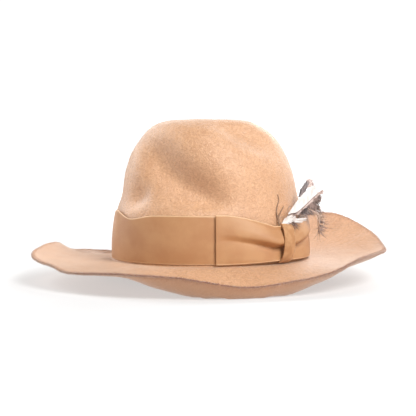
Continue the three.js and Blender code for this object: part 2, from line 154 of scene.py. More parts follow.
# Feather vanes: name, feather, finish, count of barbs, their width in metres, their tips' width as a share
# of it, how unevenly they lie, metres in front of the feather's plane, and the lines of their roots and
# tips. The lines are (forward, up) in that plane, as shares of the feather's length.
VANES = (
    (
        "blade", "white", "white_barbs", 110, 0.0014, 0.5, 0.008, 0.0002,
        ((0.29, 0.215), (0.3, 0.22), (0.33, 0.235), (0.4, 0.235), (0.48, 0.265), (0.56, 0.315), (0.65, 0.385),
         (0.74, 0.455), (0.82, 0.52)),
        ((0.34, 0.285), (0.42, 0.385), (0.5, 0.475), (0.59, 0.56), (0.68, 0.625), (0.755, 0.665),
         (0.8, 0.645), (0.835, 0.59), (0.86, 0.55)),
    ),
    (
        "lower_edge", "white", "rosy_barbs", 60, 0.0009, 0.4, 0.02, -0.0002,
        ((0.3, 0.195), (0.43, 0.212), (0.55, 0.285), (0.66, 0.37), (0.75, 0.44), (0.84, 0.505)),
        ((0.42, 0.2), (0.55, 0.272), (0.66, 0.352), (0.76, 0.428), (0.85, 0.5), (0.9, 0.54)),
    ),
    (
        "tucked_tuft", "white", "white_barbs", 34, 0.0014, 0.35, 0.03, 0.0008,
        ((0.15, 0.04), (0.19, 0.03)),
        ((0.22, 0.15), (0.3, 0.195), (0.39, 0.185), (0.4, 0.14), (0.36, 0.105)),
    ),
    (
        "turned_tuft", "white", "white_barbs", 26, 0.0012, 0.4, 0.03, 0.001,
        ((0.37, 0.13), (0.4, 0.09)),
        ((0.5, 0.125), (0.6, 0.125), (0.57, 0.1), (0.51, 0.068)),
    ),
    (
        "tucked_down", "white", "dark_barbs", 60, 0.0005, 0.2, 0.08, 0.0004,
        ((0.2, 0.03), (0.3, 0.09), (0.37, 0.13)),
        ((0.34, 0.03), (0.43, 0.02), (0.5, 0.035)),
    ),
    (
        "upper_vane", "dark", "grey_barbs", 80, 0.001, 0.4, 0.02, 0.0,
        ((0.25, 0.42), (0.3, 0.43), (0.38, 0.47), (0.44, 0.53)),
        ((0.3, 0.545), (0.37, 0.65), (0.46, 0.735), (0.51, 0.66)),
    ),
    (
        "pale_tip", "dark", "rosy_barbs", 44, 0.0009, 0.4, 0.02, 0.0003,
        ((0.45, 0.58), (0.5, 0.6), (0.56, 0.61)),
        ((0.47, 0.735), (0.52, 0.77), (0.6, 0.755), (0.67, 0.675), (0.66, 0.64)),
    ),
    (
        "lower_vane", "dark", "dark_barbs", 240, 0.001, 0.25, 0.035, 0.0,
        ((0.28, 0.16), (0.35, 0.2), (0.423, 0.241), (0.5, 0.29), (0.566, 0.333), (0.63, 0.365), (0.7, 0.41),
         (0.784, 0.455)),
        ((0.46, 0.09), (0.58, 0.07), (0.72, 0.07), (0.86, 0.09), (0.84, 0.17), (0.82, 0.27), (0.87, 0.33),
         (0.9, 0.4)),
    ),
    (
        "far_tip", "dark", "rosy_barbs", 30, 0.0009, 0.35, 0.02, 0.0,
        ((0.76, 0.45), (0.81, 0.475)),
        ((0.92, 0.455), (0.965, 0.5), (0.965, 0.56)),
    ),
    (
        "matted_down", "dark", "grey_barbs", 110, 0.0004, 0.2, 0.12, 0.0012,
        ((0.18, 0.1), (0.3, 0.17), (0.42, 0.2), (0.5, 0.2)),
        ((0.24, 0.02), (0.34, 0.02), (0.46, 0.06), (0.56, 0.08)),
    ),
    (
        "pale_down", "dark", "fawn_down", 80, 0.0004, 0.2, 0.12, 0.0015,
        ((0.46, 0.18), (0.66, 0.12), (0.76, 0.08), (0.8, -0.04)),
        ((0.6, 0.06), (0.76, 0.02), (0.88, 0.04), (0.88, -0.1)),
    ),
    (
        "hanging_down", "dark", "dark_barbs", 110, 0.0006, 0.2, 0.14, 0.0012,
        ((0.8, 0.07), (0.82, -0.1), (0.83, -0.22), (0.82, -0.3)),
        ((0.92, 0.02), (0.95, -0.13), (0.9, -0.26), (0.82, -0.38)),
    ),
)

# Single strands, such as quills, curls and hanging threads: feather, finish, thickness at the foot and at
# the tip and lift in front of the feather's plane, in metres, and a line as above.
STRANDS = (
    ("white", "dark_barbs", 0.0009, 0.0005, 0.0006,
     ((0.02, 0.0), (0.15, 0.03), (0.29, 0.205), (0.43, 0.23), (0.56, 0.312), (0.7, 0.42), (0.87, 0.545))),
    ("dark", "horny_quill", 0.0011, 0.0004, 0.0,
     ((0.05, 0.035), (0.2, 0.125), (0.365, 0.21), (0.566, 0.335), (0.784, 0.46), (0.93, 0.5))),
    ("dark", "rosy_barbs", 0.0008, 0.0005, 0.0022,
     ((0.46, 0.21), (0.52, 0.16), (0.6, 0.135), (0.68, 0.13), (0.75, 0.1), (0.8, 0.06))),
    ("dark", "horny_quill", 0.0009, 0.0004, 0.0015,
     ((0.743, 0.078), (0.795, -0.043), (0.78, -0.162), (0.825, -0.283), (0.836, -0.364))),
    ("dark", "fawn_down", 0.0009, 0.0004, 0.0018,
     ((0.831, 0.093), (0.906, -0.01), (0.937, -0.131), (0.894, -0.248), (0.821, -0.363))),
    ("dark", "rosy_barbs", 0.0007, 0.0003, 0.002,
     ((0.79, 0.06), (0.85, -0.02), (0.82, -0.1), (0.87, -0.18), (0.85, -0.26))),
    ("dark", "dark_barbs", 0.0006, 0.0002, 0.0004,
     ((0.8, 0.3), (0.88, 0.25), (0.965, 0.2))),
    ("dark", "rosy_barbs", 0.0003, 0.00012, 0.0,
     ((0.47, 0.74), (0.4, 0.8), (0.33, 0.87))),
    ("white", "dark_barbs", 0.0006, 0.0003, 0.0008,
     ((0.27, 0.24), (0.275, 0.31), (0.31, 0.345), (0.35, 0.33))),
    ("white", "dark_barbs", 0.0006, 0.0003, 0.0008,
     ((0.14, 0.06), (0.115, 0.12), (0.14, 0.175), (0.18, 0.18))),
)

# The bare twig of quill that lies on the crown beside the knot, and its branch: degrees round from the
# front and shares of the white feather's length up from its foot.
TWIGS = (
    ((115.5, -0.03), (115, 0.07), (115.3, 0.17), (115.8, 0.27), (118, 0.37), (120, 0.44), (119.9, 0.53)),
    ((115.3, 0.15), (118.0, 0.22), (120.8, 0.28), (123.5, 0.34)),
)


def read(rows, key, column, at, period=None):
    """A column of a table at values of its key column, along a smooth curve through the rows."""
    keys, values = rows[key], rows[column]
    if period:
        keys = np.concatenate([keys[-2:] - period, keys, keys[:2] + period])
        values = np.concatenate([values[-2:], values, values[:2]])
        at = np.mod(at, period)
    else:
        at = np.clip(at, keys[0], keys[-1])
    slopes = np.empty(len(keys))
    slopes[1:-1] = (values[2:] - values[:-2]) / (keys[2:] - keys[:-2])
    slopes[0] = (values[1] - values[0]) / (keys[1] - keys[0])
    slopes[-1] = (values[-1] - values[-2]) / (keys[-1] - keys[-2])
    row = np.clip(np.searchsorted(keys, at, "right") - 1, 0, len(keys) - 2)
    span = keys[row + 1] - keys[row]
    t = (at - keys[row]) / span
    rise = values[row + 1] - values[row]
    leaving, arriving = slopes[row] * span, slopes[row + 1] * span
    bend = 3 * rise - 2 * leaving - arriving + t * (leaving + arriving - 2 * rise)
    return values[row] + t * (leaving + t * bend)


def bell(distance):
    return np.exp(-(distance**2))


def smooth(value, low, high):
    t = np.clip((value - low) / (high - low), 0, 1)
    return t * t * (3 - 2 * t)


def unit(vectors):
    return vectors / np.maximum(np.linalg.norm(vectors, axis=-1, keepdims=True), 1e-12)


def stack(*parts):
    return np.stack(np.broadcast_arrays(*parts), axis=-1)


# Sizes and colours that a user would change.


def length(name, description, metres):
    return FloatProperty(
        name=name, description=description, default=metres, min=0, subtype="DISTANCE", unit="LENGTH"
    )


def colour(name, description, red, green, blue):
    return FloatVectorProperty(
        name=name, description=description, default=(red, green, blue), min=0, max=1, size=3, subtype="COLOR"
    )


class HatFeltSizes(bpy.types.PropertyGroup):
    """Sizes of the crown and brim"""

    head_length: length("Head length", "Inside the crown at the brim, front to back", 0.193)
    head_width: length("Head width", "Inside the crown at the brim, side to side", 0.164)
    felt: length("Felt", "Thickness of the felt", 0.0022)
    crown_height: length("Crown height", "From the brim at the crown's foot to the top of the crown", 0.141)
    brim_width: length("Brim width", "Plan width of the brim outside the turn at its foot", 0.076)
    brim_drop: length("Brim drop", "From the crown's foot down to the surface the hat rests on", 0.02)
    foot_radius: length("Foot radius", "Turn from the crown into the brim", 0.0024)
    lumps: length("Lumps", "Height of the felt's soft unevenness", 0.0005)
    fibre_length: length("Fibre length", "Length of a loose fibre on the felt", 0.0016)
    fibre_radius: length("Fibre radius", "Half the thickness of a loose fibre", 0.00003)
    nap_length: length("Nap length", "Length of a fibre that stands out of the cut edge", 0.0011)
    nap_radius: length("Nap radius", "Half the thickness of a fibre of the cut edge", 0.000047)
    fibre_count: IntProperty(name="Fibres", description="Loose fibres on the felt", default=5200, min=0)


class HatRibbonSizes(bpy.types.PropertyGroup):
    """Sizes of the band, the bow and the knot"""

    clearance: length("Clearance", "Between pieces that lie on each other", 0.0004)
    ribbon: length("Ribbon", "Thickness of the ribbon", 0.001)
    band_width: length("Band width", "Height of the band", 0.045)
    band_foot: length("Band foot", "Lower edge of the band above the crown's foot", 0.0022)
    bow_thickness: length("Bow thickness", "Thickness of the doubled ribbon", 0.0013)
    bow_height: length("Bow height", "Height of the bow at its flat ends", 0.0456)
    bow_waist: length("Bow waist", "Height of the bow under the knot", 0.032)
    bow_stand_off: length("Bow stand-off", "Room between the band and the bow's waist", 0.0025)
    pleat: length("Pleat", "How far the gathered folds stand out", 0.005)
    knot_width: length("Knot width", "Width of the knot's strap", 0.013)
    knot_overlap: length("Knot overlap", "Of the knot past the waist at either end", 0.0012)
    knot_thickness: length("Knot thickness", "Thickness of the knot's strap", 0.0013)
    knot_drop: length("Knot drop", "Middle of the knot below the middle of the band", 0.005)
    rib: length("Rib", "Spacing of the ribbon's fine ribs", 0.0007)


class HatFeatherSizes(bpy.types.PropertyGroup):
    """Sizes of the feathers"""

    white_length: length("White feather", "Length of the white feather", 0.06)
    dark_length: length("Dark feather", "Size of the dark feather", 0.05)
    twig: length("Twig", "Thickness of the bare twig of quill at its foot", 0.00154)


class HatColours(bpy.types.PropertyGroup):
    """Colours of the felt, the ribbon and the feathers"""

    felt: colour("Felt", "Main colour of the felt", 0.67, 0.375, 0.195)
    felt_deep: colour("Felt, deep", "Colour between the felt's fibres", 0.47, 0.225, 0.1)
    ribbon: colour("Ribbon", "Main colour of the ribbon", 0.445, 0.212, 0.086)
    ribbon_edge: colour("Ribbon edge", "Colour of the ribbon's woven edges", 0.72, 0.47, 0.27)
    strap: colour("Strap", "Colour of the knot's strap", 0.42, 0.21, 0.09)
    white_barb: colour("White barb", "Colour of the white vane", 0.84, 0.81, 0.79)
    dark_barb: colour("Dark barb", "Colour of the dark barbs", 0.09, 0.06, 0.05)
    quill: colour("Quill", "Colour of the quills", 0.17, 0.085, 0.05)


# Where the bow, the knot and the feathers lie, in degrees round from the front.
BOW_START = 75.5
BOW_END = 170
KNOT_AT = 117.5
KNOT_LEAN = 3

# Where each feather is tucked in: angle round, height above the foot, distance out from the wall and splay
# from it.
WHITE_TUCK = {"angle": 110.5, "height": 0.034, "out": 0.0022, "splay": 8}
DARK_TUCK = {"angle": 125, "height": 0.041, "out": 0.0028, "splay": 8}

# How far the bare twig stands from the crown's wall, how much farther at its foot, and how far its line
# wanders, in metres.
TWIG_OUT, TWIG_FOOT_OUT, TWIG_WANDER = 0.0009, 0.0016, 0.0004

# How finely the felt is divided: round the hat, and down the crown, its foot turn, the brim and the cut edge.
FELT_COLUMNS = 480
CROWN_ROWS, FOOT_ROWS, BRIM_ROWS, EDGE_ROWS = 91, 5, 43, 7
NAP_DENSITY = 1000000  # fibres of the cut edge to the square metre

# The felt's soft unevenness: waves of a noise to the metre, and the share of the lumps' height that each has.
FELT_LUMPS = ((42, 1), (110, 0.45), (260, 0.15))

# The cut edge: how far its line wavers, as a share of the brim's width, and how far it bulges and its pills
# stand out, as shares of the felt's thickness.
EDGE_WAVER = 0.005
EDGE_BULGE, EDGE_PILLS = 0.42, 0.3

# The band: how finely it is divided. Every piece of ribbon: how far its long edges are rounded out, as a
# share of its thickness.
BAND_COLUMNS, BAND_ROWS = 360, 26
RIBBON_ROUNDING = 0.35

# The bow: how finely a wing is divided, how far from the knot its gathers reach (a share of the wing) and
# how steeply they fade, how far the folds slant down towards the knot (a share of the bow's height), and
# the lift of its end.
WING_COLUMNS, WING_ROWS = 84, 56
GATHER_REACH, GATHER_FADE = 0.85, 1.5
FOLD_SLANT = 0.12
END_LIFT = 0.0006
KNOT_ROWS, KNOT_COLUMNS = 48, 20
KNOT_ARCH = 1.3  # of the pleat

# The floor: how finely it is divided, and in metres the radius of its first ring, its reach, and the radius
# where it rises into the backdrop.
FLOOR_RINGS, FLOOR_SIDES = 60, 96
FLOOR_START, FLOOR_REACH, FLOOR_FLAT = 0.05, 7.0, 2.5

# The photograph's view: degrees round from the front, and in metres the distance, the rise above the
# crown's foot and what it aims at, to the left of the hat's middle and above the floor. The lens is in
# millimetres.
VIEW_TURN, VIEW_DISTANCE, VIEW_RISE = 70, 1.2, 0.1335
VIEW_LEFT, VIEW_AIM, VIEW_LENS = 0.0025, 0.0694, 103.8

# Lights: direction from the hat (right, away from the camera, up), distance and width in metres, and watts.
LIGHTS = (
    ("key_box", (0.6, -0.75, 0.85), 1.5, 0.7, 25),
    ("back_box", (0.5, 1.0, 0.6), 1.7, 1.0, 22),
    ("left_box", (-0.9, 0.45, 0.6), 1.6, 1.0, 20),
)


class Block:
    """The hat's shapes as functions of its sizes, in metres. Angles are in radians round from the front."""

    def __init__(self, scene):
        self.felt, self.ribbon = scene.hat_felt, scene.hat_ribbon
        self.half_length = self.felt.head_length / 2 + self.felt.felt
        self.half_width = self.felt.head_width / 2 + self.felt.felt
        self.top_place = float(CROWN_SECTIONS["place"][-1])
        self.band_middle = self.ribbon.band_foot + self.ribbon.band_width / 2
        self.knot_middle = self.band_middle - self.ribbon.knot_drop
        self.band_outside = self.ribbon.clearance + self.ribbon.ribbon
        self.bow_inside = self.band_outside + self.ribbon.clearance
        self.places = np.linspace(0, self.top_place, 4001)
        self.heights = read(CROWN_SECTIONS, "place", "height", self.places) * self.felt.crown_height
        self.dents = [self.dent(i) for i in range(len(DENTS["angle"]))]
        low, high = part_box("felt_body")
        edge = self.brim(np.arange(72) / 72 * math.tau, 1.0)
        own = (edge.min(0) + edge.max(0)) / 2
        cad = (np.array(low) + np.array(high)) / 2
        self.shift = np.array([cad[0] - own[0], cad[1] - own[1], low.z + self.felt.brim_drop])

    def blocked(self, angle, place):
        """The crown's outer face before it is dented."""
        front, back, side, height = (
            read(CROWN_SECTIONS, "place", column, place) for column in ("front", "back", "side", "height")
        )
        reach = back + (front - back) * (0.5 + 0.5 * np.cos(angle))
        return stack(
            np.sin(angle) * side * self.half_width,
            -np.cos(angle) * reach * self.half_length,
            height * self.felt.crown_height,
        )

    def place_at(self, height):
        return np.interp(height, self.heights, self.places)

    def dent(self, index):
        row = {column: values[index] for column, values in DENTS.items()}
        angle, tilt = math.radians(row["angle"]), math.radians(row["tilt"])
        around = np.array([math.cos(angle), math.sin(angle), 0])
        out = np.array([math.sin(angle) * math.cos(tilt), -math.cos(angle) * math.cos(tilt), math.sin(tilt)])
        middle = self.blocked(angle, self.place_at(row["at"] * self.felt.crown_height))
        return {**row, "middle": middle, "around": around, "out": out, "up": -np.cross(around, out)}

    def pressed(self, points):
        """Points of the crown's outer face once every dent is pressed in."""
        tall = self.felt.crown_height
        band_top = self.ribbon.band_foot + self.ribbon.band_width
        free = smooth(points[..., 2], band_top, band_top + 0.1 * tall)
        moved = points.copy()
        for dent in self.dents:
            offset = points - dent["middle"]
            around, up = offset @ dent["around"], offset @ dent["up"]
            turn = math.radians(dent["turn"])
            lengthwise = (around * math.cos(turn) + up * math.sin(turn)) / (dent["along"] * tall)
            crosswise = (up * math.cos(turn) - around * math.sin(turn)) / (dent["across"] * tall)
            same_side = bell(offset @ dent["out"] / (0.5 * tall))
            press = dent["depth"] * tall * bell(np.hypot(lengthwise, crosswise)) * same_side * free
            moved -= press[..., None] * dent["out"]
        return moved

    def outwards(self, angle):
        """The level outward direction from the foot of the crown."""
        return unit(stack(np.sin(angle) / self.half_width, -np.cos(angle) / self.half_length, 0.0 * angle))

    def foot(self, angle, turned):
        """The turn from the crown's wall (turned 0) into the brim (turned a quarter)."""
        radius = self.felt.foot_radius
        point = self.blocked(angle, self.place_at(radius))
        point = point + self.outwards(angle) * (radius * (1 - np.cos(turned)))[..., None]
        point[..., 2] = radius * (1 - np.sin(turned))
        return point

    def brim(self, angle, reach):
        """The brim's top face, from the foot turn (reach 0) to the cut edge (1), flat where it rests."""
        turned = np.degrees(angle)
        waves = {name: read(BRIM_WAVES, "angle", name, turned, 360) for name in ("reach", "edge", "belly")}
        reach = reach + 0.0 * angle
        point = self.foot(angle, np.full_like(reach, math.pi / 2))
        point = point + self.outwards(angle) * (self.felt.brim_width * waves["reach"] * reach)[..., None]
        belly = 27 / 4 * reach**2 * (1 - reach)  # 1 where it is deepest, two thirds of the way out
        rise = self.felt.brim_drop * (waves["edge"] * reach**2 + waves["belly"] * belly)
        point[..., 2] = np.maximum(rise, self.felt.felt - self.felt.brim_drop)
        return point

    def wall(self, angle, height, out):
        """Points at a height and a distance out from the crown's wall."""
        angle, height, out = np.broadcast_arrays(angle, height, out)

        def at(a, h):
            return self.pressed(self.blocked(a, self.place_at(h)))

        around = at(angle + 0.01, height) - at(angle - 0.01, height)
        up = at(angle, height + 0.001) - at(angle, height - 0.001)
        return at(angle, height) + unit(np.cross(around, up)) * out[..., None]


# Meshes. A grid of points is an array of rows of points; its faces look to the side where the rows run down
# and the columns run round to the right.


def normals(grid, closed):
    """The outward direction at each point of a grid."""
    down = np.gradient(grid, axis=0)
    if closed:
        around = np.roll(grid, -1, axis=1) - np.roll(grid, 1, axis=1)
    else:
        around = np.gradient(grid, axis=1)
    return unit(np.cross(down, around))


def quads(rows, columns, closed_columns, closed_rows=False):
    """Faces of a grid, as numbers of its points."""
    i, j = np.meshgrid(
        np.arange(rows if closed_rows else rows - 1),
        np.arange(columns if closed_columns else columns - 1),
        indexing="ij",
    )
    below, right = (i + 1) % rows, (j + 1) % columns
    corners = [i * columns + j, below * columns + j, below * columns + right, i * columns + right]
    return np.stack(corners, axis=-1).reshape(-1, 4)


def mesh_object(name, points, faces, uv=None):
    """A piece from its points and faces. uv is one pair for each point."""
    mesh = bpy.data.meshes.new(name)
    mesh.from_pydata([tuple(p) for p in points], [], [tuple(f) for f in faces])
    mesh.validate()
    if uv is not None:
        layer = mesh.uv_layers.new(name="UVMap")
        corner = np.zeros(len(mesh.loops), int)
        mesh.loops.foreach_get("vertex_index", corner)
        layer.data.foreach_set("uv", np.asarray(uv, float)[corner].ravel())
    mesh.shade_smooth()
    piece = bpy.data.objects.new(name, mesh)
    bpy.context.scene.collection.objects.link(piece)
    return piece


def strip(name, outer, inner, closed, uv):
    """A solid strip of ribbon between two grids, with its long edges rounded."""
    thick = np.linalg.norm(outer[0] - inner[0], axis=-1, keepdims=True)
    upper = (outer[0] + inner[0]) / 2 + unit(outer[0] - outer[1]) * thick * RIBBON_ROUNDING
    lower = (outer[-1] + inner[-1]) / 2 + unit(outer[-1] - outer[-2]) * thick * RIBBON_ROUNDING
    loop = np.concatenate([upper[None], outer, lower[None], inner[::-1]])
    uv_loop = np.concatenate([uv[:1], uv, uv[-1:], uv[::-1]])
    rows, columns = loop.shape[:2]
    faces = [tuple(f) for f in quads(rows, columns, closed, True)]
    if not closed:
        count = len(outer)

        def point(row, column):
            return row * columns + column

        for column, flip in ((0, False), (columns - 1, True)):
            ends = [(0, 1, rows - 1)]
            ends += [(k, k + 1, rows - 1 - k, rows - k) for k in range(1, count)]
            ends += [(count, count + 1, count + 2)]
            for end in ends:
                face = [point(row, column) for row in end]
                faces.append(tuple(face) if flip else tuple(face[::-1]))
    return mesh_object(name, loop.reshape(-1, 3), faces, uv_loop.reshape(-1, 2))


def tube(points, radii, sides=8):
    """Points and faces of a closed tapering tube along a line of points."""
    points = np.asarray(points, float)
    along = unit(np.gradient(points, axis=0))
    across = unit(np.cross(along, np.array([0.13, 0.21, 0.97])))
    other = np.cross(along, across)
    turn = np.arange(sides) / sides * math.tau
    ring = across[:, None] * np.cos(turn)[None, :, None] + other[:, None] * np.sin(turn)[None, :, None]
    rings = points[:, None] + ring * np.asarray(radii)[:, None, None]
    body = rings.reshape(-1, 3)
    verts = np.concatenate([body, points[:1], points[-1:]])
    faces = [tuple(int(v) for v in f[::-1]) for f in quads(len(points), sides, True)]
    first, last = len(body), len(body) + 1
    start = (len(points) - 1) * sides
    for k in range(sides):
        faces.append((first, (k + 1) % sides, k))
        faces.append((last, start + k, start + (k + 1) % sides))
    return verts, faces


def joined(name, solids):
    """One piece from several lists of points and faces."""
    points, faces = [], []
    for verts, parts in solids:
        shift = sum(len(p) for p in points)
        faces += [tuple(v + shift for v in face) for face in parts]
        points.append(np.asarray(verts))
    return mesh_object(name, np.concatenate(points), faces)


# Node trees.


class Number:
    """A number or colour that varies over a surface; an expression on it adds its Math nodes."""

    def __init__(self, graph, socket):
        self.graph, self.socket = graph, socket

    def math(self, operation, *values):
        return self.graph.add("ShaderNodeMath", {"operation": operation}, dict(enumerate(values)))[0]

    def __add__(self, other):
        return self.math("ADD", self, other)

    def __sub__(self, other):
        return self.math("SUBTRACT", self, other)

    def __rsub__(self, other):
        return self.math("SUBTRACT", other, self)

    def __mul__(self, other):
        return self.math("MULTIPLY", self, other)

    def __truediv__(self, other):
        return self.math("DIVIDE", self, other)

    def smallest(self, other):
        return self.math("MINIMUM", self, other)

    __radd__ = __add__
    __rmul__ = __mul__


class Added:
    """A node that was added, with its outputs by name or number."""

    def __init__(self, graph, node):
        self.graph, self.node = graph, node

    def __getitem__(self, output):
        return Number(self.graph, self.node.outputs[output])


class Graph:
    """A node tree that is written as a list of calls."""

    def __init__(self, tree):
        self.tree = tree

    def add(self, kind, settings=None, sockets=None):
        """A node of a type, with its settings set first, and then the values or links of its sockets."""
        node = self.tree.nodes.new(kind)
        for name, value in (settings or {}).items():
            setattr(node, name, value)
        for name, value in (sockets or {}).items():
            socket = node.inputs[name]
            if isinstance(value, Number):
                self.tree.links.new(value.socket, socket)
            elif socket.type == "RGBA" and len(value) == 3:
                socket.default_value = (*value, 1)
            else:
                socket.default_value = value
        return Added(self, node)

    def mix(self, share, first, second):
        """A colour between two colours."""
        return self.add("ShaderNodeMix", {"data_type": "RGBA"}, {0: share, 6: first, 7: second})[2]

    def noise(self, place, scale, detail=2.0, roughness=0.5):
        sockets = {"Vector": place, "Scale": scale, "Detail": detail, "Roughness": roughness}
        return self.add("ShaderNodeTexNoise", None, sockets)[0]

    def warp(self, place, scale, amount):
        """Coordinates pushed about by a noise, so that what is drawn on them swirls."""
        push = self.add("ShaderNodeTexNoise", None, {"Vector": place, "Scale": scale, "Detail": 1.0})["Color"]
        settings = {"operation": "MULTIPLY_ADD"}
        return self.add("ShaderNodeVectorMath", settings, {0: push, 1: (amount,) * 3, 2: place})["Vector"]

    def between(self, value, low, high):
        """A number's share of the way from low to high, from 0 to 1."""
        settings = {"interpolation_type": "SMOOTHSTEP"}
        sockets = {"Value": value, "From Min": low, "From Max": high}
        return self.add("ShaderNodeMapRange", settings, sockets)[0]

    def bump(self, strength, distance, height):
        sockets = {"Strength": strength, "Distance": distance, "Height": height}
        return self.add("ShaderNodeBump", None, sockets)["Normal"]

    def place(self):
        """Coordinates fixed to the object."""
        return self.add("ShaderNodeTexCoord")["Object"]

    def finish_surface(self, **sockets):
        """The Principled shader and the output, with sockets given by their names in lower case."""
        named = {}
        for name, value in sockets.items():
            named[name.replace("_", " ").title().replace("Ior", "IOR")] = value
        shader = self.add("ShaderNodeBsdfPrincipled", None, named)
        self.add("ShaderNodeOutputMaterial", None, {"Surface": shader["BSDF"]})


def material(name):
    found = bpy.data.materials.new(name)
    found.use_nodes = True
    found.node_tree.nodes.clear()
    return found, Graph(found.node_tree)


def scaled(graph, place, x, y, z):
    sockets = {"Vector": place, "Scale": (x, y, z)}
    return graph.add("ShaderNodeMapping", None, sockets)["Vector"]


def attribute(graph, name):
    return graph.add("ShaderNodeAttribute", {"attribute_name": name})["Fac"]


def felt_material(colours):
    """Brushed wool felt: matted swirling fibres, painted shade that makes the underside darker and browner, and
    reddish dark at the cut edge.
    """
    made, graph = material("brushed_wool_felt")
    place = graph.place()
    rim, under = attribute(graph, "rim"), attribute(graph, "under")
    broad = graph.noise(place, 26, 2)
    swirl = graph.noise(place, 120, 2)
    warped = graph.warp(place, 150, 0.006)
    mottle = graph.noise(warped, 420, 3, 0.6)
    fibre = graph.noise(scaled(graph, warped, 480, 480, 900), 1, 2, 0.6)
    pile = graph.noise(scaled(graph, warped, 1300, 1300, 520), 1, 3, 0.65)
    shade = broad * 0.12 + swirl * 0.08 + mottle * 0.25 + fibre * 0.35 + pile * 0.2
    body = graph.mix(graph.between(shade, 0.37, 0.62), tuple(colours.felt_deep), tuple(colours.felt))
    fleck = graph.between(graph.noise(warped, 1500, 1), 0.64, 0.76)
    body = graph.mix(fleck * 0.2, body, (0.86, 0.62, 0.42))
    # Painted shade: the underside is mixed towards a dark brown, as if it were unlit.
    body = graph.mix(under * 0.7, body, (0.42, 0.18, 0.075))
    pills = graph.between(graph.noise(place, 520, 3, 0.7), 0.35, 0.6)
    # The cut edge is darkened reddish in patches, at full strength except more than 0.1 m to the camera's left
    # of the object's origin, where it fades to a fifth.
    view_right = (math.cos(math.radians(VIEW_TURN)), math.sin(math.radians(VIEW_TURN)), 0)
    dot = {"operation": "DOT_PRODUCT"}
    along = graph.add("ShaderNodeVectorMath", dot, {0: place, 1: view_right})["Value"]
    rim_darkening_side = 0.2 + 0.8 * graph.between(along, -0.15, -0.1)
    body = graph.mix(rim * rim_darkening_side * (0.4 + 0.6 * pills), body, (0.28, 0.095, 0.045))
    height = (pile * 0.3 + fibre * 0.65 + mottle * 0.5) * (1 - 0.55 * under) + rim * pills * 1.2
    bump = graph.bump(0.8, 0.0012, height)
    graph.finish_surface(
        base_color=body,
        roughness=0.5 + 0.1 * mottle,
        normal=bump,
        ior=1.9,
        sheen_weight=0.65,
        sheen_roughness=0.38,
        sheen_tint=(1.0, 0.93, 0.86),
    )
    return made


def nap_material():
    """The reddish fibres that stand out of the cut edge."""
    made, graph = material("cut_edge_fibres")
    place = graph.place()
    patch = graph.between(graph.noise(place, 420, 2), 0.35, 0.65)
    body = graph.mix(patch, (0.3, 0.1, 0.045), (0.66, 0.34, 0.19))
    graph.finish_surface(base_color=body, roughness=0.85 + 0.1 * patch)
    return made


def ribbon_material(colours, ribbon):
    """Fine ribs run up the ribbon, and its two woven edges are paler. Every piece of ribbon shares it."""
    if "ribbed_ribbon" in bpy.data.materials:
        return bpy.data.materials["ribbed_ribbon"]
    made, graph = material("ribbed_ribbon")
    uv = graph.add("ShaderNodeSeparateXYZ", None, {"Vector": graph.add("ShaderNodeTexCoord")["UV"]})
    place = graph.place()
    turns = uv["X"] * (math.tau / ribbon.rib)
    rib = turns.math("SINE", turns) * 0.5 + 0.5
    cloudy = graph.noise(place, 55, 3)
    thread = graph.noise(scaled(graph, place, 900, 900, 2600), 1, 2)
    near_edge = uv["Y"].smallest(1 - uv["Y"])
    selvage = 1 - graph.between(near_edge, 0.012, 0.024)
    body = graph.mix(graph.between(cloudy, 0.3, 0.7) * 0.5, tuple(colours.ribbon), (0.56, 0.315, 0.145))
    body = graph.mix(thread * 0.25, body, (0.4, 0.19, 0.08))
    body = graph.mix(selvage * 0.8, body, tuple(colours.ribbon_edge))
    height = rib * 0.5 + thread * 0.35 + selvage * 1.2
    bump = graph.bump(0.35, 0.0003, height)
    graph.finish_surface(
        base_color=body,
        roughness=0.42 + 0.15 * thread,
        normal=bump,
        specular_ior_level=0.6,
        sheen_weight=0.1,
        sheen_roughness=0.35,
        sheen_tint=(1.0, 0.85, 0.7),
    )
    return made


def strap_material(colours):
    """The knot's strap: napped and matt."""
    made, graph = material("napped_strap")
    place = graph.place()
    nap = graph.noise(place, 620, 4, 0.7)
    patch = graph.noise(place, 160, 2)
    body = graph.mix(graph.between(patch, 0.35, 0.65), tuple(colours.strap), (0.52, 0.29, 0.14))
    body = graph.mix(nap * 0.3, body, (0.4, 0.18, 0.07))
    bump = graph.bump(0.5, 0.0005, nap + patch * 0.6)
    graph.finish_surface(
        base_color=body,
        roughness=0.75 + 0.15 * nap,
        normal=bump,
        sheen_weight=0.3,
        sheen_roughness=0.4,
        sheen_tint=(1.0, 0.85, 0.7),
    )
    return made


def barb_material(name, dark, light, scale):
    """Barbs streaked between a dark and a light colour."""
    made, graph = material(name)
    place = graph.place()
    streak = graph.noise(scaled(graph, place, scale, scale, scale * 0.4), 1, 3, 0.6)
    body = graph.mix(graph.between(streak, 0.35, 0.62), dark, light)
    bump = graph.bump(0.3, 0.0002, streak)
    graph.finish_surface(base_color=body, roughness=0.6 + 0.2 * streak, normal=bump)
    return made


def quill_material(colours):
    made, graph = material("horny_quill")
    place = graph.place()
    grain = graph.noise(scaled(graph, place, 300, 300, 900), 1, 2)
    body = graph.mix(grain, tuple(colours.quill), (0.42, 0.26, 0.16))
    graph.finish_surface(base_color=body, roughness=0.4 + 0.2 * grain)
    return made


# Geometry Nodes.


def mesh_tree(name, **sockets):
    """A new tree that turns a mesh into another, the graph that it is written with, and its inputs."""
    tree = bpy.data.node_groups.new(name, "GeometryNodeTree")
    for label, kind in {"Geometry": "Geometry", **sockets, "Material": "Material"}.items():
        tree.interface.new_socket(label, in_out="INPUT", socket_type="NodeSocket" + kind)
    tree.interface.new_socket("Geometry", in_out="OUTPUT", socket_type="NodeSocketGeometry")
    graph = Graph(tree)
    return tree, graph, graph.add("NodeGroupInput")


